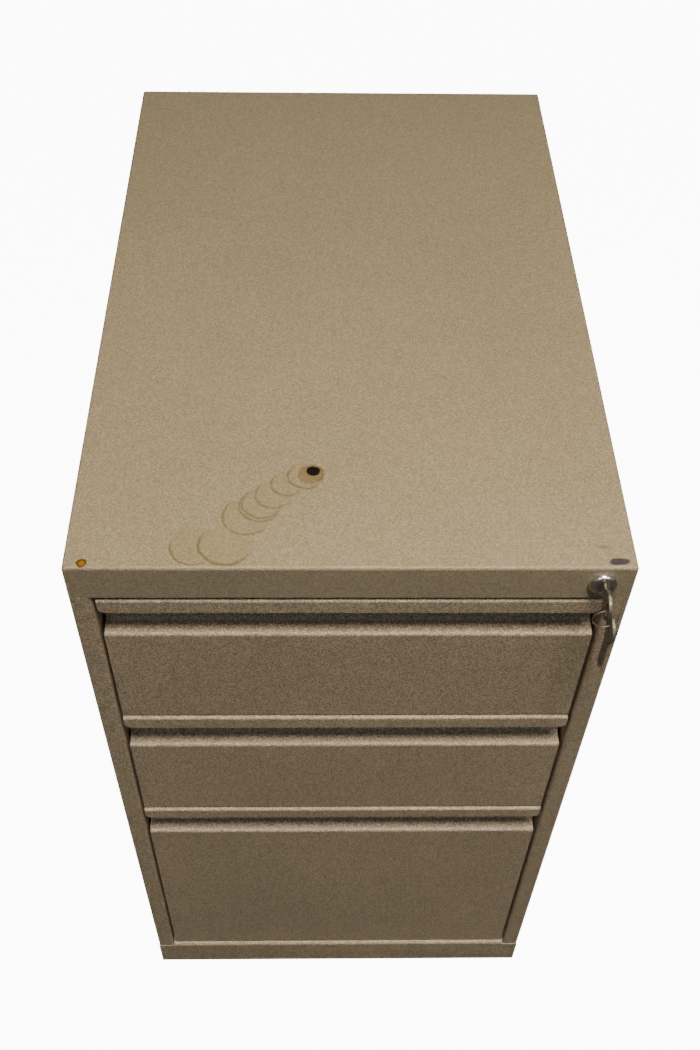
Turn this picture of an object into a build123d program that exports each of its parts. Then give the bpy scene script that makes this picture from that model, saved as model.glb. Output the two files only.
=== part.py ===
"""Rolling pedestal cabinet: two box drawers over a file drawer, in folded sheet steel on four casters.

Millimetres. +Z is up, the drawers open towards -Y and +X is the right-hand side seen from the front.
The origin is on the floor, under the middle of the cabinet's footprint.
"""
from build123d import *
import math
import os

# ---------------------------------------------------------------- driving dimensions
width = 381.0             # 15 in pedestal
depth = 584.0             # 23 in
overall_height = 711.0    # 28 in, fits under a 29 in work surface
floor_gap = 20.0          # skirt to floor
sheet = 1.0               # all folded sheet steel
apron = 32.0              # depth of the top's turned-down edges
stile = 15.5              # front edges of the sides, left and right of the drawers
stile_return = 20.0
base_rail_height = 42.0   # seam between stiles and base rail, above the skirt's lower edge
ledge_rise = 3.5          # the rail's ledge stands above that seam
rail_proud = 0.6          # the rail laps a little in front of the stiles
clearance = 0.1           # between tucked sheets

# drawer heads, from the top drawer down, measured from the floor
lip_top = [675.1, 522.7, 370.3]
lip_bottom = [661.4, 509.0, 356.6]
face_top = [632.5, 478.2, 325.3]
face_bottom = [523.8, 371.4, 66.2]
head_width = 345.2
face_setback = 2.2        # faces sit behind the pull lips
recess_depth = 15.0       # finger recess, face to recess wall
shelf_rise = 1.5          # recess shelf rises towards its back
shelf_cove = 6.5          # rounded corner at the back of the shelf
lip_corner = 5.5

# drawer boxes
box_half = 162.3
box_back = 222.0         # front face of the drawer's rear wall
box_floor_rise = 10.0     # box floor above the face's lower edge
box_rim_drop = 22.0       # box rim below the lip's top
rim_flange = 5.0

# slides
slide_front = -270.0
slide_length = 500.0
box_slide_rise = 45.0     # slide middle above the face's lower edge
file_slide_rise = 70.0
box_travel = 375.0
file_travel = 500.0
ball_radius = 2.38
ball_line = 168.45        # distance of the ball rows from the middle of the cabinet
cage_length = 118.0
file_cage_length = 236.0

# lock
lock_x = 168.7
lock_z = 695.0
cam_radius = 8.0          # lock axis to cam pin
cam_pin_radius = 1.5
cam_slot_height = 3.8
bar_y = -262.0            # front face of the lock bar
bar_thickness = 1.5
latch_drop = 68.0         # drawer latch below the lip's top
latch_height = 10.0
hook_gap = 2.0
key_thickness = 1.8
bow_radius = 10.5
bow_drop = 4.5            # middle of the bow, from the middle of its hole
shoulder_end = 19.0       # where the blade starts, from the middle of the hole
blade_half = 3.8
lock_blade = 25.0
spare_blade = 30.0
ring_radius = 8.2
ring_wire = 0.75
ring_drop = 9.7           # middle of the ring below the lock axis
spare_x = 174.0

# casters
caster_x = 125.0
caster_y = 225.0
wheel_radius = 25.0
wheel_width = 18.0
caster_trail = 20.0
axle_radius = 4.0
running_fit = 0.05
plate_underside = 60.0
crown_bottom = 53.2

# ---------------------------------------------------------------- worked-out places
half_w = width / 2
front = -depth / 2
back = depth / 2
seam_z = overall_height - apron
stile_foot = floor_gap + base_rail_height
ledge_z = stile_foot + ledge_rise
opening_half = half_w - stile
rail_front = front - rail_proud
box_front = front + face_setback + recess_depth + 2 * sheet
pan_z = plate_underside + 2.0
ring_y = front - 22.5
ring_z = lock_z - ring_drop
SIDES = {"left": -1, "right": 1}
CORNERS = {"front_left": (-1, -1), "front_right": (1, -1), "rear_left": (-1, 1), "rear_right": (1, 1)}

on_base = (Align.CENTER, Align.CENTER, Align.MIN)

os.makedirs("parts", exist_ok=True)


def folded(points, radius, thickness=sheet):
    """Section of a folded sheet inside the current sketch; the points run along its mid-thickness."""
    with BuildLine() as fold:
        FilletPolyline(*points, radius=radius)
    trace(fold.edges(), line_width=thickness)


def block(x0, x1, y0, y1, z0, z1, mode=Mode.ADD):
    """A plain box between two corners, inside the current part."""
    with Locations(((x0 + x1) / 2, (y0 + y1) / 2, (z0 + z1) / 2)):
        Box(abs(x1 - x0), abs(y1 - y0), abs(z1 - z0), mode=mode)


def save(piece, name):
    """Label a finished piece and write its STEP file."""
    piece.part.label = name
    export_step(piece.part, f"parts/{name}.step")


# ================================================================ cabinet shell
# top: a pan with all four edges turned down and a hem under the front edge
with BuildPart() as top_panel:
    block(-half_w, half_w, front, back, seam_z, overall_height)
    fillet(top_panel.edges().filter_by(Axis.Z), radius=1.8)
    fillet(top_panel.faces().sort_by(Axis.Z)[-1].edges(), radius=2.4)
    offset(amount=-sheet, openings=top_panel.faces().sort_by(Axis.Z)[0])
    block(-half_w + 3, half_w - 3, front + sheet / 2, front + 12, seam_z, seam_z + sheet)
    with Locations(Plane((lock_x, front, lock_z), z_dir=(0, -1, 0))):
        Hole(radius=9.0, depth=3.0)
save(top_panel, "top_panel")


def side_panel(side):
    """Outer wall, front stile with its return, rear flange, bottom hem and a strip tucked under the top."""
    wall = half_w - sheet / 2
    with BuildPart() as panel:
        with BuildSketch(Plane.XY.offset(floor_gap)):
            folded(
                [
                    (side * (opening_half + sheet / 2), back - 1.5 * sheet - clearance),
                    (side * wall, back - 1.5 * sheet - clearance),
                    (side * wall, front + sheet / 2),
                    (side * (opening_half + sheet / 2), front + sheet / 2),
                    (side * (opening_half + sheet / 2), front + stile_return),
                ],
                radius=[1.5, 1.5, 2.5],
            )
        extrude(amount=seam_z - 0.5 - floor_gap)
        # the base rail runs under the stile
        inner = side * (opening_half - 1)
        cut_top = stile_foot + 0.2
        block(inner, side * (half_w + 1), front - 1, rail_front + sheet, 0, cut_top, Mode.SUBTRACT)
        cut_back = front + stile_return + 5
        block(inner, side * (half_w - sheet), front - 1, cut_back, 0, cut_top, Mode.SUBTRACT)
        # bottom hem, and the joggled strip inside the top's flange
        block(side * (half_w - 10), side * wall, front + 12, back - 12, floor_gap, floor_gap + sheet)
        tuck = half_w - sheet - clearance
        strip = side * (tuck - sheet)
        block(strip, side * (tuck + 0.2), front + 8, back - 8, seam_z - 11, seam_z - 0.5)
        block(strip, side * tuck, front + 8, back - 8, seam_z - 11, seam_z + 21)
    return panel


for side_name, side in SIDES.items():
    save(side_panel(side), f"{side_name}_side_panel")

# back: lapped over the sides' rear flanges, tucked under the top
with BuildPart() as back_panel:
    block(-half_w, half_w, back - sheet, back, floor_gap, seam_z - 0.5)
    fillet(back_panel.edges().filter_by(Axis.Z).sort_by(Axis.Y)[-2:], radius=0.8)
    tuck = back - sheet - clearance
    block(-opening_half + 4, opening_half - 4, tuck - sheet, tuck + 0.2, seam_z - 11, seam_z - 0.5)
    block(-opening_half + 4, opening_half - 4, tuck - sheet, tuck, seam_z - 11, seam_z + 21)
    block(-opening_half + 4, opening_half - 4, back - 12, back - sheet / 2, floor_gap, floor_gap + sheet)
save(back_panel, "back_panel")

# base rail: front skirt with a hem below and a rounded ledge under the bottom drawer
rail_back = front + 29.5
with BuildPart() as front_base_rail:
    with BuildSketch(Plane.YZ):
        folded(
            [
                (front + 12, floor_gap + sheet / 2),
                (rail_front + sheet / 2, floor_gap + sheet / 2),
                (rail_front + sheet / 2, ledge_z - sheet / 2),
                (rail_back, ledge_z - sheet / 2),
                (rail_back, pan_z + sheet + clearance),
            ],
            radius=[1.5, 3.0, 0.9],
        )
    extrude(amount=half_w, both=True)
    for side in SIDES.values():
        inner = side * (opening_half - 0.4)
        outer = side * (half_w + 1)
        block(inner, outer, rail_front - 1, rail_back + 5, stile_foot, ledge_z + 1, Mode.SUBTRACT)
        block(inner, outer, rail_front + sheet, rail_back + 5, 0, ledge_z + 1, Mode.SUBTRACT)
save(front_base_rail, "front_base_rail")

caster_spots = [(sx * caster_x, sy * caster_y) for sx, sy in CORNERS.values()]
weight_bolts = [(-110.0, 268.0), (110.0, 268.0)]
pan_back = back - 3.5

# base pan: floor of the cabinet, flanged up against the sides, carrying the casters
with BuildPart() as base_pan:
    with BuildSketch(Plane.XZ.offset(-pan_back)):
        folded(
            [
                (half_w - 1.6, pan_z + 12),
                (half_w - 1.6, pan_z + sheet / 2),
                (-half_w + 1.6, pan_z + sheet / 2),
                (-half_w + 1.6, pan_z + 12),
            ],
            radius=1.5,
        )
    extrude(amount=pan_back - rail_back - sheet / 2)
    with BuildSketch(Plane.XY.offset(pan_z)):
        with Locations(*caster_spots):
            with GridLocations(46, 34, 2, 2):
                Circle(2.6)
        with Locations(*weight_bolts):
            Circle(5.2)
    extrude(amount=sheet, mode=Mode.SUBTRACT)
save(base_pan, "base_pan")

# crossmember behind the apron: stiffens the front and steadies the lock barrel
with BuildPart() as top_crossmember:
    with BuildSketch(Plane.YZ):
        folded(
            [
                (front + 32, overall_height - 1.5 * sheet - clearance),
                (front + 14, overall_height - 1.5 * sheet - clearance),
                (front + 14, seam_z + 3),
                (front + 23, seam_z + 3),
            ],
            radius=1.5,
        )
    extrude(amount=half_w - 3, both=True)
    with Locations(Plane((lock_x, front + 10, lock_z), z_dir=(0, -1, 0))):
        Hole(radius=9.3, depth=8.0)
save(top_crossmember, "top_crossmember")


def uprights(side):
    """Front and rear hat channels that carry the slides, with a row of hook slots."""
    flange_x = half_w - 1.5 * sheet
    web_x = opening_half + sheet / 2
    foot = pan_z + 13
    with BuildPart() as pair:
        for web_front in (front + 47, 194.0):
            web_back = web_front + 26
            with BuildSketch(Plane.XY.offset(foot)):
                folded(
                    [
                        (side * flange_x, web_front - 7),
                        (side * flange_x, web_front),
                        (side * web_x, web_front),
                        (side * web_x, web_back),
                        (side * flange_x, web_back),
                        (side * flange_x, web_back + 7),
                    ],
                    radius=1.5,
                )
            extrude(amount=seam_z - 12 - foot)
            middle_z = (foot + seam_z - 12) / 2
            slots = Plane((side * (web_x - sheet), web_front + 13, middle_z), z_dir=(side, 0, 0))
            with BuildSketch(slots):
                with GridLocations(8, 38.1, 2, 15):
                    Rectangle(2.4, 12)
            extrude(amount=2 * sheet, mode=Mode.SUBTRACT)
    return pair


for side_name, side in SIDES.items():
    save(uprights(side), f"{side_name}_uprights")

# counterweight behind the file drawer, held down through the base pan
with BuildPart() as counterweight:
    block(-150, 150, back - 44, back - 4, pan_z + sheet, pan_z + 88)
    chamfer(counterweight.faces().sort_by(Axis.Z)[-1].edges(), length=3)
    with Locations(*[(x, y, pan_z + sheet + 12) for x, y in weight_bolts]):
        Cylinder(radius=5.0, height=24, mode=Mode.SUBTRACT)
save(counterweight, "counterweight")

with BuildPart() as counterweight_bolts:
    for x, y in weight_bolts:
        with BuildSketch(Plane.XY.offset(pan_z - 6.4)):
            with Locations((x, y)):
                RegularPolygon(radius=9.2, side_count=6)
        extrude(amount=6.4)
        with Locations((x, y, pan_z)):
            Cylinder(radius=5.0, height=24, align=on_base)
save(counterweight_bolts, "counterweight_bolts")


# ================================================================ drawers
def drawer_front(lip_z, lip_end, top_z, bottom_z):
    """One folded head: hem, face, finger recess, and the lip that hangs over the recess as the pull."""
    lip_y = front + sheet / 2
    face_y = lip_y + face_setback
    wall_y = face_y + recess_depth
    with BuildPart() as head:
        with BuildSketch(Plane.YZ):
            folded(
                [
                    (wall_y - 1, bottom_z + sheet / 2),
                    (face_y, bottom_z + sheet / 2),
                    (face_y, top_z - sheet / 2),
                    (wall_y, top_z - sheet / 2 + shelf_rise),
                    (wall_y, lip_z - sheet / 2),
                    (lip_y, lip_z - sheet / 2),
                    (lip_y, lip_end),
                ],
                radius=[1.5, 2.0, shelf_cove, 2.0, 1.6],
            )
        extrude(amount=head_width / 2, both=True)
        # side returns close the hollow face
        for side in SIDES.values():
            edge = side * head_width / 2
            block(edge, edge - side * sheet, face_y, wall_y - 2, bottom_z + 2, top_z - 2)
        lip_corners = head.edges().filter_by(Axis.Y).filter_by_position(Axis.Z, lip_end - 0.2, lip_end + 0.2)
        fillet(lip_corners, radius=lip_corner)
    return head


def drawer_body(lip_z, bottom_z):
    """Box of the drawer: floor and sides in one sheet, a front wall, and the latch for the lock bar."""
    floor_z = bottom_z + box_floor_rise
    rim_z = lip_z - box_rim_drop
    side_x = box_half - sheet / 2
    latch_z = lip_z - latch_drop
    latch_y = bar_y + bar_thickness + 1.0
    with BuildPart() as body:
        with BuildSketch(Plane.XZ.offset(-box_back)):
            folded(
                [
                    (side_x - rim_flange, rim_z - sheet / 2),
                    (side_x, rim_z - sheet / 2),
                    (side_x, floor_z + sheet / 2),
                    (-side_x, floor_z + sheet / 2),
                    (-side_x, rim_z - sheet / 2),
                    (-side_x + rim_flange, rim_z - sheet / 2),
                ],
                radius=1.4,
            )
        extrude(amount=box_back - box_front)
        block(-box_half, box_half, box_front - sheet, box_front, floor_z, lip_z - 4)
        block(side_x, box_half + 10.5, latch_y, latch_y + 1.2, latch_z, latch_z + latch_height)
        block(side_x, box_half + 1.0, latch_y, latch_y + 12, latch_z, latch_z + latch_height)
    return body


def drawer_back(lip_z, bottom_z):
    """Rear wall of the drawer box with a turned-back rim."""
    wall_y = box_back + sheet / 2
    rim_z = lip_z - box_rim_drop - sheet / 2
    with BuildPart() as wall:
        with BuildSketch(Plane.YZ):
            floor_z = bottom_z + box_floor_rise
            folded([(wall_y, floor_z), (wall_y, rim_z), (wall_y + 7, rim_z)], radius=1.4)
        extrude(amount=box_half, both=True)
    return wall


for number in range(3):
    name = f"drawer_{number + 1}"
    lip_z, bottom_z = lip_top[number], face_bottom[number]
    save(drawer_front(lip_z, lip_bottom[number], face_top[number], bottom_z), f"{name}_front")
    save(drawer_body(lip_z, bottom_z), f"{name}_body")
    save(drawer_back(lip_z, bottom_z), f"{name}_back")

# pencil tray clipped across the front of the top drawer: a thin moulding with a rim on the box's rims
tray_z = lip_top[0] - box_rim_drop
tray_front = box_front + 1
tray_wall = 1.8
tray_pockets = [
    (-154.0, 154.0, 2.0, 42.0),
    (-154.0, -38.0, 44.0, 110.0),
    (-36.0, 78.0, 44.0, 110.0),
    (80.0, 154.0, 44.0, 110.0),
]
with BuildPart() as pencil_tray:
    block(-156, 156, tray_front, tray_front + 112, tray_z - 20, tray_z + 2)
    fillet(pencil_tray.edges().filter_by(Axis.Z), radius=6)
    block(-161.5, 161.5, tray_front, tray_front + 112, tray_z + 0.2, tray_z + 2)
    with BuildSketch(Plane.XY.offset(tray_z + 2)):
        for x0, x1, y0, y1 in tray_pockets:
            with Locations(((x0 + x1) / 2, tray_front + (y0 + y1) / 2)):
                RectangleRounded(x1 - x0, y1 - y0, 5)
    extrude(amount=tray_wall - 22, mode=Mode.SUBTRACT)
save(pencil_tray, "pencil_tray")

# divider standing across the middle drawer
divider_floor = face_bottom[1] + box_floor_rise + sheet
with BuildPart() as drawer_2_divider:
    with BuildSketch(Plane.YZ):
        folded(
            [(12, divider_floor + sheet / 2), (0, divider_floor + sheet / 2), (0, divider_floor + 92)],
            radius=1.5,
        )
    extrude(amount=box_half - 2, both=True)
    with BuildSketch(Plane.XZ.offset(5)):
        with Locations((0, divider_floor + 92)):
            SlotOverall(90, 36)
    extrude(amount=-20, mode=Mode.SUBTRACT)
save(drawer_2_divider, "drawer_2_divider")

# hanging-file rails along both rims of the file drawer
file_rim = lip_top[2] - box_rim_drop
with BuildPart() as file_rails:
    for side in SIDES.values():
        with BuildSketch(Plane.XZ.offset(-(box_back - 4))):
            folded(
                [
                    (side * (box_half - 1.5), file_rim + sheet / 2),
                    (side * (box_half - 6.8), file_rim + sheet / 2),
                    (side * (box_half - 6.8), file_rim + 9),
                ],
                radius=1.2,
            )
        extrude(amount=box_back - box_front - 8)
save(file_rails, "file_rails")


# ================================================================ slides
def member(section, side, middle_z, bend, thickness=sheet):
    """One member of a slide: a channel whose section is given by (distance from the middle, height)."""
    with BuildPart() as channel:
        with BuildSketch(Plane.XZ.offset(-(slide_front + slide_length))):
            folded([(side * x, middle_z + z) for x, z in section], bend, thickness)
        extrude(amount=slide_length)
    return channel


def channel_section(lip_x, web_x, half_height, lip_turn):
    """Section of a slide channel with its edges turned in by lip_turn to hold the balls."""
    upper = [(lip_x, half_height - lip_turn), (lip_x, half_height), (web_x, half_height)]
    return upper + [(x, -z) for x, z in reversed(upper)]


cabinet_web = opening_half - sheet / 2
drawer_web = box_half + sheet / 2
box_cabinet_half = 17.5    # half heights of the members
box_runner_half = 11.4
file_cabinet_half = 22.8
file_middle_half = 16.9
file_runner_half = 11.1
box_cabinet_member = channel_section(165.2, cabinet_web, box_cabinet_half, lip_turn=2.4)
box_drawer_member = channel_section(171.6, drawer_web, box_runner_half, lip_turn=-2.0)
file_cabinet_member = channel_section(165.2, cabinet_web, file_cabinet_half, lip_turn=2.4)
file_middle_member = channel_section(165.2, 172.6, file_middle_half, lip_turn=2.3)
file_drawer_member = channel_section(171.25, drawer_web, file_runner_half, lip_turn=-1.8)
slide_rise = [box_slide_rise, box_slide_rise, file_slide_rise]
slide_z = [bottom_z + rise for bottom_z, rise in zip(face_bottom, slide_rise)]

for number in range(3):
    is_file = number == 2
    for side_name, side in SIDES.items():
        cabinet_section = file_cabinet_member if is_file else box_cabinet_member
        drawer_section = file_drawer_member if is_file else box_drawer_member
        place = f"drawer_{number + 1}_{side_name}"
        save(member(cabinet_section, side, slide_z[number], 1.2), f"{place}_cabinet_slide")
        save(member(drawer_section, side, slide_z[number], 0.9), f"{place}_runner")
for side_name, side in SIDES.items():
    save(member(file_middle_member, side, slide_z[2], 1.1), f"drawer_3_{side_name}_middle_slide")


def ball_cages(middle_z, row_height, middle_y, length, count):
    """Retainer strips above and below the runners on both sides, each with its row of balls."""
    pitch = length / count
    with BuildPart() as cages:
        for side in SIDES.values():
            for level in (-1, 1):
                row_z = middle_z + level * row_height
                with Locations((side * ball_line, middle_y, row_z)):
                    Box(4.2, length, 0.7)
                    with GridLocations(1, pitch, 1, count):
                        Cylinder(radius=ball_radius + 0.1, height=2, mode=Mode.SUBTRACT)
                        Sphere(radius=ball_radius)
    return cages


# the ball rows run midway between one member and the next
box_row = (box_cabinet_half + box_runner_half) / 2
outer_row = (file_cabinet_half + file_middle_half) / 2
inner_row = (file_middle_half + file_runner_half) / 2
box_cage_y = slide_front + box_travel / 2 + cage_length / 2 + 3
file_cage_y = slide_front + file_travel / 4 + file_cage_length / 2 + 3
save(ball_cages(slide_z[0], box_row, box_cage_y, cage_length, 6), "drawer_1_ball_cages")
save(ball_cages(slide_z[1], box_row, box_cage_y, cage_length, 6), "drawer_2_ball_cages")
save(ball_cages(slide_z[2], outer_row, file_cage_y, file_cage_length, 8), "drawer_3_outer_ball_cages")
save(ball_cages(slide_z[2], inner_row, file_cage_y, file_cage_length, 8), "drawer_3_inner_ball_cages")

# ================================================================ lock
lock_section = Plane((lock_x, 0, lock_z), x_dir=(1, 0, 0), z_dir=(0, 0, 1))
lock_axis = Axis((lock_x, 0, lock_z), (0, 1, 0))
nose = front - 4.0        # front of the chrome collar

with BuildPart() as lock_housing:
    with BuildSketch(lock_section):
        with BuildLine():
            Polyline((9.75, front - 0.9), (9.75, front - 0.02), (8.9, front - 0.02), (8.9, front + 22))
            Line((8.9, front + 22), (6.05, front + 22))
            Line((6.05, front + 22), (6.05, nose + 0.8))
            Line((6.05, nose + 0.8), (6.7, nose))
            ThreePointArc((6.7, nose), (8.9, nose + 1.1), (9.75, front - 0.9))
        make_face()
    revolve(axis=lock_axis)
save(lock_housing, "lock_housing")

with BuildPart() as lock_nut:
    with BuildSketch(Plane((lock_x, front + sheet + 0.05, lock_z), x_dir=(1, 0, 0), z_dir=(0, 1, 0))):
        RegularPolygon(radius=13.4, side_count=6)
        Circle(8.95, mode=Mode.SUBTRACT)
    extrude(amount=4)
save(lock_nut, "lock_nut")

with BuildPart() as lock_plug:
    with BuildSketch(lock_section):
        with BuildLine():
            Polyline((0, nose + 0.9), (5.4, nose + 0.9), (6.0, nose + 1.5), (6.0, front + 23.5))
            Polyline((6.0, front + 23.5), (3.0, front + 23.5), (3.0, front + 29), (0, front + 29))
            Line((0, front + 29), (0, nose + 0.9))
        make_face()
    revolve(axis=lock_axis)
    # keyway
    block(
        lock_x - key_thickness / 2 - 0.2,
        lock_x + key_thickness / 2 + 0.2,
        nose - 1,
        ring_y + shoulder_end + lock_blade + 0.5,
        lock_z - blade_half - 0.4,
        lock_z + blade_half + 0.4,
        Mode.SUBTRACT,
    )
save(lock_plug, "lock_plug")

pin_x = lock_x + cam_radius * math.cos(math.radians(45))
pin_z = lock_z + cam_radius * math.sin(math.radians(45))
facing_back = Plane((lock_x, front + 23.7, lock_z), x_dir=(1, 0, 0), z_dir=(0, -1, 0))
with BuildPart() as lock_cam:
    with BuildSketch(facing_back):
        Circle(6.0)
        with Locations((cam_radius * math.cos(math.radians(45)), cam_radius * math.sin(math.radians(45)))):
            Circle(3.4)
        make_hull()
        Circle(3.05, mode=Mode.SUBTRACT)
    extrude(amount=-1.6)
    with BuildSketch(Plane((pin_x, front + 25, pin_z), x_dir=(1, 0, 0), z_dir=(0, 1, 0))):
        Circle(cam_pin_radius)
    extrude(amount=bar_y + bar_thickness + 1.2 - front - 25)
    with BuildSketch(Plane((lock_x, front + 25.4, lock_z), x_dir=(1, 0, 0), z_dir=(0, 1, 0))):
        RegularPolygon(radius=5.0, side_count=6)
        Circle(3.05, mode=Mode.SUBTRACT)
    extrude(amount=2.6)
save(lock_cam, "lock_cam")


def key_blank(plane, blade_length):
    """A flat key: oblong-holed bow, shoulder and bitted blade with a pointed tip, along the plane's -y."""
    tip = -shoulder_end - blade_length
    with BuildPart() as blank:
        with BuildSketch(plane):
            with Locations((0, -bow_drop)):
                Circle(bow_radius)
            with Locations((0, 3.5 - shoulder_end)):
                Rectangle(10, 7)
            with BuildLine():
                Polyline(
                    (-blade_half, -shoulder_end),
                    (-blade_half, tip + 3.2),
                    (-0.9, tip),
                    (0.9, tip),
                    (blade_half, tip + 3.2),
                    (blade_half, -shoulder_end),
                    close=True,
                )
            make_face()
            SlotOverall(11.2, 4.0, mode=Mode.SUBTRACT)
            # cuts of the bitting along one edge
            for step, cut in enumerate([1.2, 2.2, 0.9, 1.8, 1.4]):
                with Locations((blade_half, -shoulder_end - 6 - 3.4 * step)):
                    Rectangle(2 * cut, 2.0, mode=Mode.SUBTRACT)
        extrude(amount=key_thickness / 2, both=True)
    return blank


key_plane = Plane((lock_x, ring_y, lock_z), x_dir=(0, 0, 1), z_dir=(1, 0, 0))
save(key_blank(key_plane, lock_blade), "key")

with BuildPart() as key_ring:
    with Locations(Plane((lock_x, ring_y, ring_z), z_dir=(0, 1, 0))):
        Torus(ring_radius, ring_wire)
save(key_ring, "key_ring")

# the wire slants through the hole, so its middle in the key is a little above the wire circle
spare_z = ring_z - math.sqrt(ring_radius**2 - (spare_x - lock_x) ** 2) + 0.2
spare_plane = Plane((spare_x, ring_y, spare_z), x_dir=(0, 1, 0), z_dir=(1, 0, 0))
save(key_blank(spare_plane, spare_blade), "spare_key")

# lock bar: hangs beside the drawers and drops its hooks in front of their latches
bar_left = half_w - 12.5
bar_right = half_w - 4.5
with BuildPart() as lock_bar:
    block(bar_left, bar_right, bar_y, bar_y + bar_thickness, 110, pin_z)
    block(pin_x - 4.6, bar_right, bar_y, bar_y + bar_thickness, pin_z - 6.5, pin_z + 5.0)
    for lip_z in lip_top:
        hook_z = lip_z - latch_drop + latch_height + hook_gap
        block(opening_half - 8, bar_right, bar_y, bar_y + bar_thickness, hook_z, hook_z + 10)
    with BuildSketch(Plane.XZ.offset(-bar_y - bar_thickness - 1)):
        with Locations((pin_x + 1.2, pin_z)):
            Rectangle(2.4 + 2 * cam_pin_radius + 1.2, cam_slot_height)
    extrude(amount=bar_thickness + 2, mode=Mode.SUBTRACT)
save(lock_bar, "lock_bar")

with BuildPart() as lock_bar_guides:
    for guide_z in (140.0, 590.0):
        block(bar_left - 1.8, half_w - sheet, bar_y - 2.2, bar_y + 3.4, guide_z, guide_z + 14)
        slot_x = (bar_left - 0.3, bar_right + 0.3)
        slot_y = (bar_y - 0.3, bar_y + bar_thickness + 0.3)
        block(*slot_x, *slot_y, guide_z - 1, guide_z + 15, Mode.SUBTRACT)
save(lock_bar_guides, "lock_bar_guides")

# ================================================================ casters
with BuildPart() as caster_plates:
    for x, y in caster_spots:
        with BuildSketch(Plane.XY.offset(plate_underside)):
            with Locations((x, y)):
                RectangleRounded(62, 48, 5)
                with GridLocations(46, 34, 2, 2):
                    Circle(2.6, mode=Mode.SUBTRACT)
        extrude(amount=2.0)
        # race disc, then the kingpin with its riveted head
        with Locations((x, y, crown_bottom + 2.3)):
            Cylinder(14, plate_underside - crown_bottom - 2.3, align=on_base)
        with Locations((x, y, crown_bottom - 1.9)):
            Cylinder(4.0, 10, align=on_base)
            Cylinder(6.4, 1.6, align=on_base)
save(caster_plates, "caster_plates")

with BuildPart() as caster_screws:
    for x, y in caster_spots:
        with Locations((x, y, 0)):
            with GridLocations(46, 34, 2, 2):
                with Locations((0, 0, plate_underside - 2.6)):
                    Cylinder(4.6, 2.6, align=on_base)
                    Cylinder(2.5, 9.5, align=on_base)
save(caster_screws, "caster_screws")


def caster_fork(x, y):
    """Swivel fork: crown with its kingpin hole, two legs, and the riveted axle."""
    leg = wheel_width / 2 + 1.2
    with BuildPart() as fork:
        with BuildSketch(Plane.XY.offset(crown_bottom)):
            with Locations((x, y)):
                Circle(17)
                Rectangle(2 * leg + 3.6, 26)
                Circle(4.0 + running_fit, mode=Mode.SUBTRACT)
        extrude(amount=2.0)
        for side in SIDES.values():
            with BuildSketch(Plane.YZ.offset(x + side * leg)):
                with Locations((y + caster_trail, wheel_radius)):
                    Circle(7.5)
                with Locations((y, crown_bottom + 1)):
                    Rectangle(26, 2.0)
                make_hull()
            extrude(amount=side * 1.8)
        with BuildSketch(Plane.YZ.offset(x)):
            with Locations((y + caster_trail, wheel_radius)):
                Circle(axle_radius)
        extrude(amount=leg + 3.2, both=True)
        with BuildSketch(Plane.YZ.offset(x + leg + 1.8)):
            with Locations((y + caster_trail, wheel_radius)):
                Circle(5.6)
        extrude(amount=1.2)
        with BuildSketch(Plane.YZ.offset(x - leg - 1.8)):
            with Locations((y + caster_trail, wheel_radius)):
                Circle(5.6)
        extrude(amount=-1.2)
    return fork


def caster_wheel(x, y):
    """Wheel with a crowned tread, dished sides and a plain bore."""
    axle = (x, y + caster_trail, wheel_radius)
    half = wheel_width / 2
    web = 3.5
    bore = axle_radius + running_fit
    with BuildPart() as wheel:
        with BuildSketch(Plane(axle, x_dir=(1, 0, 0), z_dir=(0, -1, 0))):
            with BuildLine():
                Polyline((-half + 1, 22.6), (-half, 21), (-half, 18.4), (-web, 16.8), (-web, 9), (-half, 8))
                Polyline((-half, 8), (-half, bore), (half, bore), (half, 8), (web, 9), (web, 16.8))
                Polyline((web, 16.8), (half, 18.4), (half, 21), (half - 1, 22.6))
                ThreePointArc((half - 1, 22.6), (0, wheel_radius), (-half + 1, 22.6))
            make_face()
        revolve(axis=Axis(axle, (1, 0, 0)))
    return wheel


for corner, (sx, sy) in CORNERS.items():
    save(caster_fork(sx * caster_x, sy * caster_y), f"{corner}_caster_fork")
    save(caster_wheel(sx * caster_x, sy * caster_y), f"{corner}_caster_wheel")
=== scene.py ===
"""Looks of the rolling pedestal cabinet: camera, soft studio light, painted, plated and rubber finishes.

Metres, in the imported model's own frame: +Z up, drawers open towards -Y, origin on the floor under the middle.
"""
import math

import bmesh
import bpy
from mathutils import Matrix, Vector


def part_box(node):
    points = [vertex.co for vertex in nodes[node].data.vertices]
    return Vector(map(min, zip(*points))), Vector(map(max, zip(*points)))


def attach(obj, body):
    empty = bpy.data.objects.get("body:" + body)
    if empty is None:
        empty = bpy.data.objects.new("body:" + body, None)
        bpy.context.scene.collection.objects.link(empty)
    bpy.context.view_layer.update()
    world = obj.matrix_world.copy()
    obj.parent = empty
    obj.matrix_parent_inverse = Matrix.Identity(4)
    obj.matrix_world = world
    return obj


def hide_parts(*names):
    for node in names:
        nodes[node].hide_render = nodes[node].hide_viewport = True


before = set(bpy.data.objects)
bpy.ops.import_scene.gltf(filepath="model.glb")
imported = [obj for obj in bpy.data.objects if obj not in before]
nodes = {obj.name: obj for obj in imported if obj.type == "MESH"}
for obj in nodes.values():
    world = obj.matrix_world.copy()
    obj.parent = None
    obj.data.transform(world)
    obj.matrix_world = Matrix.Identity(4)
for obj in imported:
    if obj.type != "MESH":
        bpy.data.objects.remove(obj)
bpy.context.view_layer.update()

# ---------------------------------------------------------------- places read from the frame
top_low, top_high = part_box("top_panel")
front_y = top_low.y
top_z = top_high.z
half_width = top_high.x
MM = 0.001


def srgb(red, green, blue):
    """Linear colour of an 8-bit screen colour."""
    def linear(value):
        share = value / 255
        return share / 12.92 if share <= 0.04045 else ((share + 0.055) / 1.055) ** 2.4
    return (linear(red), linear(green), linear(blue), 1.0)


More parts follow.
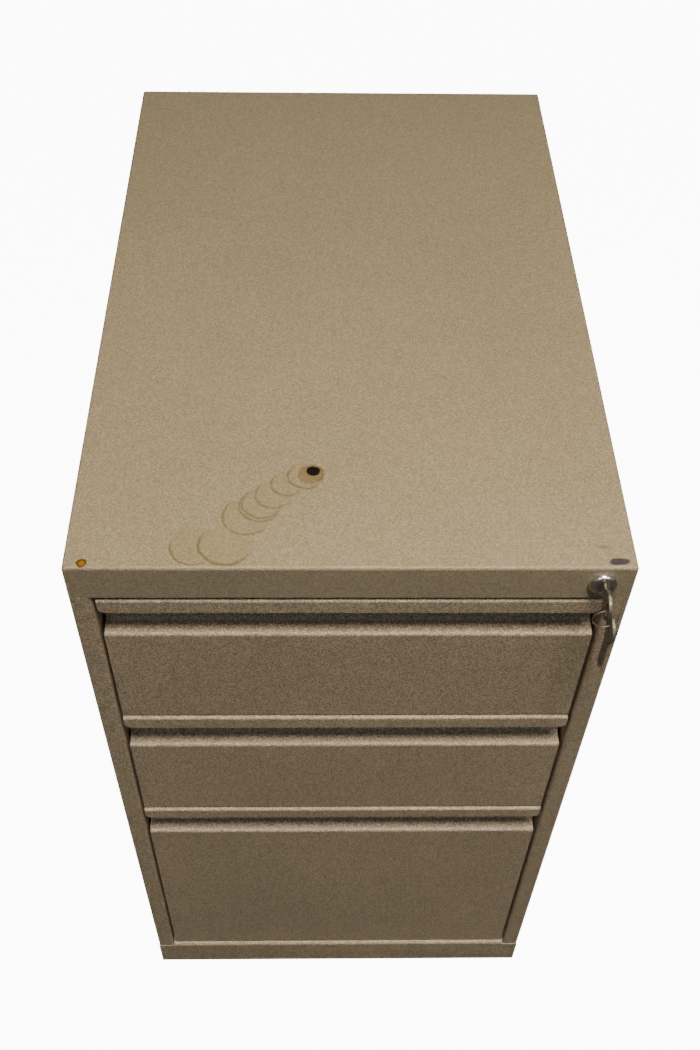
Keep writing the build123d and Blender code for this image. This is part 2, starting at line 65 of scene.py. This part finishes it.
def darker(colour, factor):
    """The same hue, scaled in brightness."""
    return tuple(channel * factor for channel in colour[:3]) + (1.0,)


# ================================================================ camera
# in front of the cabinet and well above it, looking steeply down
camera_place = Vector((-0.02161, -0.78472, 1.33958))
camera_pitch = math.radians(50.085)   # below the horizon
camera_yaw = math.radians(1.662)
camera_roll = math.radians(1.314)

camera_data = bpy.data.cameras.new("camera")
camera_data.sensor_width = 36.0
camera_data.lens = 41.70
camera_data.shift_x = 0.00835
camera_data.shift_y = 0.00476
camera = bpy.data.objects.new("camera", camera_data)
camera.matrix_world = (
    Matrix.Translation(camera_place)
    @ Matrix.Rotation(-camera_yaw, 4, "Z")
    @ Matrix.Rotation(math.radians(90) - camera_pitch, 4, "X")
    @ Matrix.Rotation(camera_roll, 4, "Z")
)
bpy.context.scene.collection.objects.link(camera)
bpy.context.scene.camera = camera


# ================================================================ light
def area_light(name, place, target, size, power, tint=(1.0, 1.0, 1.0), spread=180, only_glints=False):
    """A square soft box at place, facing target; a spread under 180 degrees is a grid on it."""
    data = bpy.data.lights.new(name, "AREA")
    data.shape = "SQUARE"
    data.size = size
    data.energy = power
    data.color = tint
    data.spread = math.radians(spread)
    light = bpy.data.objects.new(name, data)
    light.location = place
    light.rotation_mode = "QUATERNION"
    light.rotation_quaternion = (Vector(target) - Vector(place)).to_track_quat("-Z", "Y")
    light.visible_camera = False
    light.visible_diffuse = not only_glints
    bpy.context.scene.collection.objects.link(light)


# the key hangs overhead and a little in front, so that it grazes the fronts and reaches the finger shelves;
# the sparkles only show in the chrome, and the fills only light the sides and the back
WARM = (1.0, 0.94, 0.83)
lock_place = (0.17, -0.3, 0.7)
flank = (0.0, 0.1, 0.4)
area_light("key_light", (0.36, -1.32, 4.4), (0.26, -0.99, 0.0), size=1.1, power=31.0, tint=WARM, spread=58)
area_light("left_sparkle", (-1.1, -1.9, 3.0), lock_place, size=1.0, power=14.0, only_glints=True)
area_light("right_sparkle", (1.5, -1.6, 3.0), lock_place, size=1.0, power=14.0, only_glints=True)
area_light("left_fill", (-2.6, 0.7, 0.25), flank, size=0.8, power=14.0)
area_light("right_fill", (2.6, 0.7, 0.25), flank, size=0.8, power=14.0)
area_light("rear_fill", (0.0, 3.2, 0.2), (0.0, 0.2, 0.4), size=0.8, power=22.0)


def studio_world(above, below, strength):
    """A soft surround that is bright above the horizon and dark below it."""
    world = bpy.data.worlds.new("studio")
    world.use_nodes = True
    tree = world.node_tree
    direction = tree.nodes.new("ShaderNodeTexCoord").outputs["Generated"]
    split = tree.nodes.new("ShaderNodeSeparateXYZ")
    tree.links.new(direction, split.inputs[0])
    height = tree.nodes.new("ShaderNodeMapRange")
    height.interpolation_type = "SMOOTHSTEP"
    height.inputs["From Min"].default_value = 0.0
    height.inputs["From Max"].default_value = 0.3   # sine of the elevation where it is fully bright
    tree.links.new(split.outputs["Z"], height.inputs["Value"])
    shade = tree.nodes.new("ShaderNodeMix")
    shade.data_type = "RGBA"
    shade.inputs[6].default_value = below
    shade.inputs[7].default_value = above
    tree.links.new(height.outputs[0], shade.inputs["Factor"])
    tree.links.new(shade.outputs[2], tree.nodes["Background"].inputs["Color"])
    tree.nodes["Background"].inputs["Strength"].default_value = strength
    bpy.context.scene.world = world


COOL_ABOVE = (0.90, 1.05, 1.12, 1.0)
WARM_BELOW = (0.36, 0.33, 0.25, 1.0)
studio_world(COOL_ABOVE, WARM_BELOW, strength=0.185)


# ================================================================ shader building
class Finish:
    """A node material: the Principled shader and short ways to add nodes around it."""

    def __init__(self, name, colour, roughness, metallic=0.0):
        self.material = bpy.data.materials.new(name)
        self.material.use_nodes = True
        self.material.diffuse_color = colour
        self.tree = self.material.node_tree
        self.shader = self.tree.nodes["Principled BSDF"]
        self.shader.inputs["Base Color"].default_value = colour
        self.shader.inputs["Roughness"].default_value = roughness
        self.shader.inputs["Metallic"].default_value = metallic
        self.place = self.add("ShaderNodeTexCoord").outputs["Object"]

    def add(self, kind, sources=None, **settings):
        """A node with its settings, and its inputs set to numbers or joined to other nodes' outputs."""
        node = self.tree.nodes.new(kind)
        for key, value in settings.items():
            setattr(node, key, value)
        for socket, source in (sources or {}).items():
            self.join(source, node.inputs[socket])
        return node

    def join(self, source, socket):
        """Links an output to a socket, or writes a constant into it."""
        if isinstance(source, bpy.types.NodeSocket):
            self.tree.links.new(source, socket)
        else:
            socket.default_value = source

    def noise(self, size, detail=2.0, roughness=0.5, stretch=None):
        """Noise whose features are about size metres across, from 0 to 1."""
        place = self.vector("MULTIPLY", self.place, stretch) if stretch else self.place
        sources = {"Vector": place, "Scale": 1 / size, "Detail": detail, "Roughness": roughness}
        return self.add("ShaderNodeTexNoise", sources).outputs[0]

    def span(self, value, low, high, start=0.0, end=1.0):
        """A smooth step: value from low to high becomes start to end, and stays there outside."""
        sources = {"Value": value, "From Min": low, "From Max": high, "To Min": start, "To Max": end}
        return self.add("ShaderNodeMapRange", sources, interpolation_type="SMOOTHSTEP").outputs[0]

    def calc(self, operation, first, second=0.0):
        """One step of arithmetic."""
        return self.add("ShaderNodeMath", {0: first, 1: second}, operation=operation).outputs[0]

    def vector(self, operation, first, second):
        """One step of vector arithmetic."""
        return self.add("ShaderNodeVectorMath", {0: first, 1: second}, operation=operation).outputs[0]

    def length(self, vector):
        """How long a vector is."""
        return self.add("ShaderNodeVectorMath", {0: vector}, operation="LENGTH").outputs["Value"]

    def dot(self, first, second):
        """The dot product of two vectors."""
        node = self.add("ShaderNodeVectorMath", {0: first, 1: second}, operation="DOT_PRODUCT")
        return node.outputs["Value"]

    def cells(self, size):
        """A random grey, from 0 to 1, for each cell about size metres across."""
        sources = {"Vector": self.place, "Scale": 1 / size}
        colour = self.add("ShaderNodeTexVoronoi", sources).outputs["Color"]
        return self.add("ShaderNodeSeparateColor", {0: colour}).outputs[0]

    def blend(self, amount, first, second):
        """Colour from first to second as amount goes from 0 to 1."""
        sources = {"Factor": amount, 6: first, 7: second}
        return self.add("ShaderNodeMix", sources, data_type="RGBA").outputs[2]

    def largest(self, masks):
        """The strongest of several masks at each point."""
        strongest = masks[0]
        for mask in masks[1:]:
            strongest = self.calc("MAXIMUM", strongest, mask)
        return strongest

    def axis(self, name):
        """One coordinate of the point being shaded."""
        return self.add("ShaderNodeSeparateXYZ", {0: self.place}).outputs[name]

    def bump(self, layers):
        """Relief from (height, depth in metres) layers, the coarsest first."""
        relief = None
        for height, depth in layers:
            node = self.add("ShaderNodeBump", {"Height": height, "Distance": depth, "Strength": 1.0})
            if relief is not None:
                self.join(relief, node.inputs["Normal"])
            relief = node.outputs[0]
        self.join(relief, self.shader.inputs["Normal"])


# ================================================================ paint
TOP_PUTTY = srgb(205, 185, 156)
# painted light: the shell wears the top's putty paint, painted lighter so the sides, stiles and base come out
# brighter
SHELL_PUTTY_PAINTED_LIGHTER = srgb(214, 191, 161)
DRAWER_PUTTY = srgb(157, 142, 117)
OLIVE_CAST = srgb(150, 146, 104)
# lighter colour of worn edges, which is also a painted highlight along the bends
WORN_AND_HIGHLIT_PAINT = srgb(206, 186, 160)
FINE_GRAIN = 0.85 * MM
COARSE_GRAIN = 1.15 * MM
GRAIN_LEVEL = 0.79   # mean brightness left by each of the two grains


def painted(name, colour, contrast=0.23):
    """Putty paint on sheet steel: grain, orange peel, slow drift in tone, edges lighter from wear and a painted
    highlight, handling marks.
    """
    paint = Finish(name, colour, 0.42)
    paint.shader.inputs["Specular IOR Level"].default_value = 0.42
    drift = paint.noise(0.16, detail=3.0)
    speckle = paint.noise(FINE_GRAIN, detail=1.0)
    coarse_speckle = paint.noise(COARSE_GRAIN, detail=1.0)
    flecks = paint.cells(FINE_GRAIN)
    hue = paint.noise(3.0 * MM, detail=1.0, roughness=0.4)
    tone = paint.blend(paint.span(drift, 0.3, 0.7), darker(colour, 0.97), darker(colour, 1.03))
    tone = paint.blend(paint.span(hue, 0.3, 0.7, 0.0, 0.10), tone, OLIVE_CAST)
    for grain, low, high in ((coarse_speckle, 0.32, 0.68), (flecks, 0.2, 0.8)):
        level = paint.span(grain, low, high, GRAIN_LEVEL + contrast, GRAIN_LEVEL - contrast)
        tone = paint.add("ShaderNodeVectorMath", {0: tone, "Scale": level}, operation="SCALE").outputs[0]

    # sharp edges are lighter: partly paint worn to a paler colour, partly a painted highlight along the bends
    rounded = paint.add("ShaderNodeBevel", {"Radius": 0.8 * MM}, samples=4).outputs[0]
    flat = paint.add("ShaderNodeNewGeometry").outputs["Normal"]
    agreement = paint.dot(rounded, flat)
    broken = paint.span(paint.noise(6 * MM, detail=4.0, roughness=0.65), 0.35, 0.65, 0.25, 1.0)
    worn = paint.calc("MULTIPLY", paint.span(agreement, 0.70, 0.97, 0.05, 0.0), broken)
    paint.tone = paint.blend(worn, tone, WORN_AND_HIGHLIT_PAINT)
    smudge = paint.noise(0.045, detail=4.0, roughness=0.6)
    paint.gloss = paint.span(smudge, 0.3, 0.75, 0.42, 0.55)
    paint.relief = [(drift, 0.10 * MM), (coarse_speckle, 0.26 * MM), (speckle, 0.20 * MM)]
    return paint


def close_paint(paint):
    """Joins the finished colour, gloss and relief of a painted finish to its shader."""
    paint.join(paint.tone, paint.shader.inputs["Base Color"])
    paint.join(paint.gloss, paint.shader.inputs["Roughness"])
    paint.bump(paint.relief)
    return paint.material


def flat_offset(paint, x, y, stretch=(1.0, 1.0)):
    """Vector from a point of the top to the shaded point, in the plane of the top."""
    offset = paint.vector("SUBTRACT", paint.place, (x, y, 0.0))
    return paint.vector("MULTIPLY", offset, (1 / stretch[0], 1 / stretch[1], 0.0))


def ring_mark(paint, x, y, radius, facing, half_arc, line, strength, wobble):
    """Mask of a drying ring: a thin arc about (x, y), strongest towards the facing angle in degrees."""
    offset = flat_offset(paint, x, y)
    distance = paint.calc("ADD", paint.length(offset), wobble)
    off_line = paint.calc("ABSOLUTE", paint.calc("SUBTRACT", distance, radius))
    edge = paint.span(off_line, 0.0, line, strength, 0.0)
    way = math.radians(facing)
    unit = paint.add("ShaderNodeVectorMath", {0: offset}, operation="NORMALIZE").outputs[0]
    turn = paint.dot(unit, (math.cos(way), math.sin(way), 0.0))
    fade = math.radians(30)
    widest = math.cos(min(math.pi, math.radians(half_arc) + fade))
    arc = paint.span(turn, widest, math.cos(max(0.0, math.radians(half_arc) - fade)))
    return paint.calc("MULTIPLY", edge, arc)


def spot(paint, x, y, radius, softness, strength, wobble, stretch=(1.0, 1.0)):
    """Mask of a round mark about (x, y), or, with a radius of 1, of an oval whose half sizes are stretch."""
    distance = paint.calc("ADD", paint.length(flat_offset(paint, x, y, stretch)), wobble)
    return paint.span(distance, radius - softness, radius + softness, strength, 0.0)


RING_SPREAD = 1.3   # how far a ring's edge fades out, in line widths


def stained_top(name):
    """The top's paint with its cup rings, the burnt spot they lead to, a rust dot and worn corners."""
    paint = painted(name, TOP_PUTTY, 0.12)
    # painted shade: the upper face is painted a little darker and yellower than the turned-down apron and the
    # fronts, to match how the light falls on the top
    upper = paint.span(paint.axis("Z"), top_z - 2.0 * MM, top_z - 0.6 * MM)
    painted_top_shade = {"Factor": upper, 6: paint.tone, 7: (0.99, 0.945, 0.79, 1.0)}
    paint.tone = paint.add("ShaderNodeMix", painted_top_shade, data_type="RGBA", blend_type="MULTIPLY").outputs[2]

    burn_x, burn_y = -25.6 * MM, front_y + 86.9 * MM
    wobble = paint.span(paint.noise(9 * MM, detail=3.0), 0.25, 0.75, -0.55 * MM, 0.55 * MM)
    patchy = paint.span(paint.noise(3.2 * MM, detail=3.0), 0.28, 0.62, 0.6, 1.0)
    rings = []
    washes = []

    def stand(left, forward, radius, facing, half_arc, line=1.2, strength=0.75):
        """Where a wet cup stood, in millimetres from the burnt spot: its ring, and a faint wash inside it."""
        x, y = burn_x - left * MM, burn_y - forward * MM
        width = RING_SPREAD * line * MM
        rings.append(ring_mark(paint, x, y, radius * MM, facing, half_arc, width, strength, wobble))
        washes.append(spot(paint, x, y, radius * MM, softness=1.0 * MM, strength=0.20, wobble=wobble))

    # the cup went from the burnt spot towards the front left corner: two rings round the spot, then four even
    # steps with a wider ring at each, rocking at the third, then a slide to the front edge and one to the left
    stand(1, 3, radius=8, facing=190, half_arc=150, line=1.9)
    stand(1, 3, radius=8, facing=350, half_arc=60, line=1.3, strength=1.0)
    stand(5, 4, radius=12.5, facing=225, half_arc=85, line=1.3, strength=0.85)
    first_left, first_forward, first_radius = 18, 12, 11
    for step in range(4):
        left, forward = first_left + 9 * step, first_forward + 10 * step
        stand(left, forward, radius=first_radius + 1.7 * step, facing=228, half_arc=92)
        if step == 2:
            stand(left - 1, forward - 2, radius=first_radius + 2.5, facing=235, half_arc=105)
    stand(left + 13, forward + 24, radius=18, facing=240, half_arc=85, line=1.4, strength=0.95)
    stand(left + 34, forward + 26, radius=16, facing=228, half_arc=60, line=1.1, strength=0.9)
    ring_mask = paint.calc("MULTIPLY", paint.largest(rings), patchy)
    paint.tone = paint.blend(paint.largest(washes), paint.tone, srgb(146, 124, 72))
    paint.tone = paint.blend(ring_mask, paint.tone, srgb(112, 86, 42))

    # the burnt spot with its brown halo
    halo_x, halo_y = burn_x - 0.3 * MM, burn_y - 2.2 * MM
    halo = spot(paint, halo_x, halo_y, radius=7.6 * MM, softness=1.4 * MM, strength=0.72, wobble=wobble)
    core = spot(paint, burn_x, burn_y, radius=4.7 * MM, softness=0.7 * MM, strength=1.0, wobble=wobble)
    ash = paint.span(paint.noise(1.3 * MM), 0.4, 0.7, 0.0, 0.35)
    paint.tone = paint.blend(halo, paint.tone, srgb(124, 96, 48))
    paint.tone = paint.blend(core, paint.tone, paint.blend(ash, srgb(16, 9, 4), srgb(58, 40, 26)))

    # rust coming through at the front left corner
    rust_x, rust_y = -half_width + 12.9 * MM, front_y + 4.4 * MM
    core_x, core_y = rust_x + 0.2 * MM, rust_y - 0.3 * MM
    rust = spot(paint, rust_x, rust_y, radius=3.3 * MM, softness=0.5 * MM, strength=1.0, wobble=wobble)
    rust_heart = spot(paint, core_x, core_y, radius=1.9 * MM, softness=1.0 * MM, strength=1.0, wobble=wobble)
    paint.tone = paint.blend(rust, paint.tone, paint.blend(rust_heart, srgb(88, 60, 16), srgb(156, 104, 20)))

    # paint rubbed through to grey primer at the front right corner, and a scuff behind it
    rub_x, rub_y = half_width - 12.4 * MM, front_y + 5.6 * MM
    rub_size = (7.4 * MM, 2.7 * MM)
    scuff_size = (4.6 * MM, 1.5 * MM)
    ragged = paint.calc("MULTIPLY", wobble, 350.0)
    scuff_x, scuff_y = rub_x - 9.0 * MM, rub_y + 13.0 * MM
    rub = spot(paint, rub_x, rub_y, 1.0, softness=0.25, strength=1.0, wobble=ragged, stretch=rub_size)
    scuff = spot(paint, scuff_x, scuff_y, 1.0, softness=0.6, strength=0.42, wobble=wobble, stretch=scuff_size)
    paint.tone = paint.blend(rub, paint.tone, paint.blend(patchy, srgb(58, 50, 50), srgb(82, 72, 72)))
    paint.tone = paint.blend(scuff, paint.tone, srgb(96, 76, 62))

    marks = paint.largest([ring_mask, halo, core, rust])
    paint.gloss = paint.blend(marks, paint.gloss, (0.72, 0.72, 0.72, 1.0))
    dead = paint.largest([core, rust, rub])
    paint.join(paint.span(dead, 0.0, 1.0, 0.5, 0.12), paint.shader.inputs["Specular IOR Level"])
    return close_paint(paint)


def dark_patched_side(name):
    """The right side's paint, painted lighter as painted light, with a small dark patch on its front corner,
    beside the top drawer's pull.
    """
    paint = painted(name, SHELL_PUTTY_PAINTED_LIGHTER, 0.18)
    ragged = paint.span(paint.noise(1.5 * MM, detail=3.0), 0.25, 0.75, -0.3, 0.3)
    patch_below_top = 76 * MM
    corner = (half_width, front_y, top_z - patch_below_top)
    reach = (2.2 * MM, 2.5 * MM, 5.5 * MM)
    offset = paint.vector("DIVIDE", paint.vector("SUBTRACT", paint.place, corner), reach)
    dark_patch = paint.span(paint.calc("ADD", paint.length(offset), ragged), 0.85, 1.15, 1.0, 0.0)
    paint.tone = paint.blend(dark_patch, paint.tone, srgb(30, 20, 18))
    return close_paint(paint)


# ================================================================ metals, plastic and rubber
def plated(name, colour, roughness, spangle=9 * MM, variation=0.12):
    """Zinc-plated steel: soft spangle, fine rolling lines and cloudy passivation."""
    zinc = Finish(name, colour, roughness, metallic=1.0)
    cloud = zinc.noise(0.03, detail=4.0)
    lines = zinc.noise(0.6 * MM, detail=2.0, stretch=(1.0, 0.03, 1.0))
    grey = zinc.cells(spangle)
    tone = zinc.blend(grey, darker(colour, 1 - variation), darker(colour, 1 + variation * 0.5))
    tone = zinc.blend(zinc.span(cloud, 0.35, 0.7, 0.0, 0.35), tone, darker(colour, 0.72))
    zinc.join(tone, zinc.shader.inputs["Base Color"])
    gloss = zinc.calc("ADD", zinc.span(cloud, 0.3, 0.7, roughness - 0.06, roughness + 0.1),
                      zinc.span(grey, 0.0, 1.0, -0.04, 0.04))
    zinc.join(gloss, zinc.shader.inputs["Roughness"])
    zinc.bump([(cloud, 0.05 * MM), (lines, 0.006 * MM)])
    return zinc.material


def polished(name, colour, roughness, tarnish, tarnish_share):
    """Bright plated metal with handling marks: hairline scratches and dull tarnished patches."""
    metal = Finish(name, colour, roughness, metallic=1.0)
    patches = metal.noise(2.4 * MM, detail=4.0, roughness=0.65)
    scratches = metal.noise(0.25 * MM, detail=2.0, stretch=(1.0, 0.12, 0.25))
    dull = metal.span(patches, 0.42, 0.66, 0.0, tarnish_share)
    metal.join(metal.blend(dull, colour, tarnish), metal.shader.inputs["Base Color"])
    worn = metal.span(patches, 0.35, 0.7, roughness, roughness + 0.28 * tarnish_share + 0.03)
    gloss = metal.calc("ADD", worn, metal.span(scratches, 0.5, 0.8, 0.0, 0.08))
    metal.join(gloss, metal.shader.inputs["Roughness"])
    metal.bump([(patches, 0.02 * MM), (scratches, 0.004 * MM)])
    return metal.material


def moulded(name, colour, roughness, grain=0.5 * MM):
    """Injection-moulded plastic with a spark-eroded grain and slight scuffing."""
    plastic = Finish(name, colour, roughness)
    grain_noise = plastic.noise(grain, detail=2.0)
    scuffs = plastic.noise(0.02, detail=5.0, roughness=0.65)
    tone = plastic.blend(plastic.span(scuffs, 0.35, 0.75, 0.0, 0.5), colour, darker(colour, 1.35))
    plastic.join(tone, plastic.shader.inputs["Base Color"])
    plastic.join(plastic.span(scuffs, 0.3, 0.7, roughness - 0.08, roughness + 0.1),
                 plastic.shader.inputs["Roughness"])
    plastic.bump([(scuffs, 0.02 * MM), (grain_noise, 0.02 * MM)])
    return plastic.material


def cast_iron(name):
    """Rough black-painted cast counterweight with rust in its low spots."""
    base = srgb(48, 46, 44)
    iron = Finish(name, base, 0.7, metallic=0.2)
    sand = iron.noise(1.6 * MM, detail=4.0, roughness=0.6)
    rust = iron.span(iron.noise(0.02, detail=5.0, roughness=0.7), 0.55, 0.72)
    iron.join(iron.blend(rust, base, srgb(98, 58, 32)), iron.shader.inputs["Base Color"])
    iron.join(iron.span(sand, 0.3, 0.7, 0.6, 0.85), iron.shader.inputs["Roughness"])
    iron.bump([(sand, 0.25 * MM)])
    return iron.material


def wheel_finish(corner):
    """Grey rubber tread on a dark hub, split at the tread's inner radius about the wheel's own axle."""
    low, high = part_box(f"{corner}_caster_wheel")
    axle = (low + high) / 2
    tread_radius = 0.74 * (high.z - low.z) / 2
    seam = 0.35 * MM
    hub = srgb(52, 52, 54)
    wheel = Finish(f"{corner}_wheel_rubber", hub, 0.55)
    across = wheel.vector("MULTIPLY", wheel.vector("SUBTRACT", wheel.place, axle), (0.0, 1.0, 1.0))
    tread = wheel.span(wheel.length(across), tread_radius - seam, tread_radius + seam)
    dust = wheel.noise(0.006, detail=5.0, roughness=0.65)
    dirty = wheel.calc("MULTIPLY", tread, wheel.span(dust, 0.4, 0.7, 0.0, 0.7))
    tone = wheel.blend(tread, hub, srgb(78, 77, 76))
    wheel.join(wheel.blend(dirty, tone, srgb(128, 120, 108)), wheel.shader.inputs["Base Color"])
    wheel.join(wheel.span(dust, 0.3, 0.7, 0.5, 0.8), wheel.shader.inputs["Roughness"])
    wheel.bump([(dust, 0.06 * MM)])
    return wheel.material


# ================================================================ finishes of the CAD nodes
def dress(names, material):
    """Gives CAD nodes their finished material."""
    for name in names:
        for place in nodes[name].material_slots:
            place.material = material


materials_by_slot = {
    "putty_paint": close_paint(painted("putty_paint_painted_lighter_finish", SHELL_PUTTY_PAINTED_LIGHTER)),
    "drawer_paint": close_paint(painted("drawer_paint_finish", DRAWER_PUTTY)),
    "zinc_steel": plated("zinc_steel_finish", srgb(176, 178, 180), 0.42),
    "slide_zinc": plated("slide_zinc_finish", srgb(186, 188, 190), 0.33, spangle=5 * MM),
    "rail_zinc": plated("rail_zinc_finish", srgb(182, 184, 186), 0.36, spangle=7 * MM),
    "fork_zinc": plated("fork_zinc_finish", srgb(168, 170, 172), 0.38, spangle=12 * MM),
    "fastener_zinc": plated("fastener_zinc_finish", srgb(190, 186, 170), 0.34, spangle=2 * MM),
    "ball_steel": polished("ball_steel_finish", srgb(196, 198, 200), 0.12, srgb(120, 116, 108), 0.25),
    # the lock's chrome is tinted warm against the cool reflections, and its brown tarnish patches are partly
    # handling marks and partly a painted reflection of the brown cabinet
    "lock_chrome": polished("lock_chrome_with_painted_reflection_finish", srgb(246, 240, 232), 0.14, srgb(150, 138, 124), 0.35),
    "key_nickel": polished("key_nickel_finish", srgb(152, 144, 128), 0.5, srgb(104, 94, 78), 0.8),
    "weight_iron": cast_iron("weight_iron_finish"),
    "guide_plastic": moulded("guide_plastic_finish", srgb(222, 220, 212), 0.42),
    "tray_plastic": moulded("tray_plastic_finish", srgb(34, 34, 35), 0.48),
}
for name, piece in nodes.items():
    slot = piece.material_slots[0].material.name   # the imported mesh's material has its slot's name
    if slot in materials_by_slot:
        dress([name], materials_by_slot[slot])
dress(["top_panel"], stained_top("top_paint_finish"))
dress(["right_side_panel"], dark_patched_side("right_side_painted_lighter_finish"))
for corner in ("front_left", "front_right", "rear_left", "rear_right"):
    dress([f"{corner}_caster_wheel"], wheel_finish(corner))


# ================================================================ pieces made here
def swept_tube(name, path, radius, sides=12):
    """A round wire along path, with flat closed ends."""
    mesh = bmesh.new()
    loops = []
    angles = [2 * math.pi * side / sides for side in range(sides)]
    for index, point in enumerate(path):
        ahead = path[min(index + 1, len(path) - 1)] - path[max(index - 1, 0)]
        turn = ahead.to_track_quat("Z", "Y")
        spokes = [Vector((radius * math.cos(angle), radius * math.sin(angle), 0)) for angle in angles]
        loops.append([mesh.verts.new(point + turn @ spoke) for spoke in spokes])
    for first, second in zip(loops, loops[1:]):
        for side in range(sides):
            after = (side + 1) % sides
            mesh.faces.new((first[side], first[after], second[after], second[side]))
    mesh.faces.new(reversed(loops[0]))
    mesh.faces.new(loops[-1])
    bmesh.ops.recalc_face_normals(mesh, faces=mesh.faces)
    data = bpy.data.meshes.new(name)
    mesh.to_mesh(data)
    mesh.free()
    for face in data.polygons:
        face.use_smooth = len(face.vertices) == 4
    made = bpy.data.objects.new(name, data)
    bpy.context.scene.collection.objects.link(made)
    return made


def split_ring():
    """Key ring of sprung wire in two close turns, where the CAD has one solid hoop."""
    low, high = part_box("key_ring")
    centre = (low + high) / 2
    wire = (high.y - low.y) / 4
    radius = (high.z - low.z) / 2 - wire
    turns = 1.94   # the ends overlap nearly twice round
    steps = 150
    path = []
    for step in range(steps + 1):
        share = step / steps
        angle = 2 * math.pi * turns * share + math.radians(200)
        across = (share - 0.5) * 2 * wire
        path.append(centre + Vector((radius * math.cos(angle), across, radius * math.sin(angle))))
    ring = swept_tube("split_ring", path, wire)
    ring.data.materials.append(materials_by_slot["key_nickel"])
    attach(ring, "key_ring")
    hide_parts("key_ring")


split_ring()


# ================================================================ floor
def pale_floor():
    """A plain pale studio floor, far wider than the view."""
    reach = 30.0
    data = bpy.data.meshes.new("floor")
    corners = [(-reach, -reach, 0), (reach, -reach, 0), (reach, reach, 0), (-reach, reach, 0)]
    data.from_pydata(corners, [], [(0, 1, 2, 3)])
    floor = bpy.data.objects.new("floor", data)
    finish = Finish("floor_finish", (0.86, 0.86, 0.85, 1.0), 0.9)
    finish.shader.inputs["Emission Color"].default_value = (1.0, 1.0, 1.0, 1.0)
    # the floor glows evenly, except under the cabinet, where the glow is cut to nothing as a painted shadow;
    # outside is 1 at the body's edges
    across = finish.calc("DIVIDE", finish.calc("ABSOLUTE", finish.axis("X")), half_width)
    along = finish.calc("DIVIDE", finish.calc("ABSOLUTE", finish.axis("Y")), -front_y)
    outside = finish.calc("MAXIMUM", across, along)
    glow_and_painted_shadow = finish.span(outside, 0.962, 0.974, 0.0, 11.0)
    finish.join(glow_and_painted_shadow, finish.shader.inputs["Emission Strength"])
    data.materials.append(finish.material)
    bpy.context.scene.collection.objects.link(floor)
    floor.visible_diffuse = False
    floor.visible_glossy = False


pale_floor()
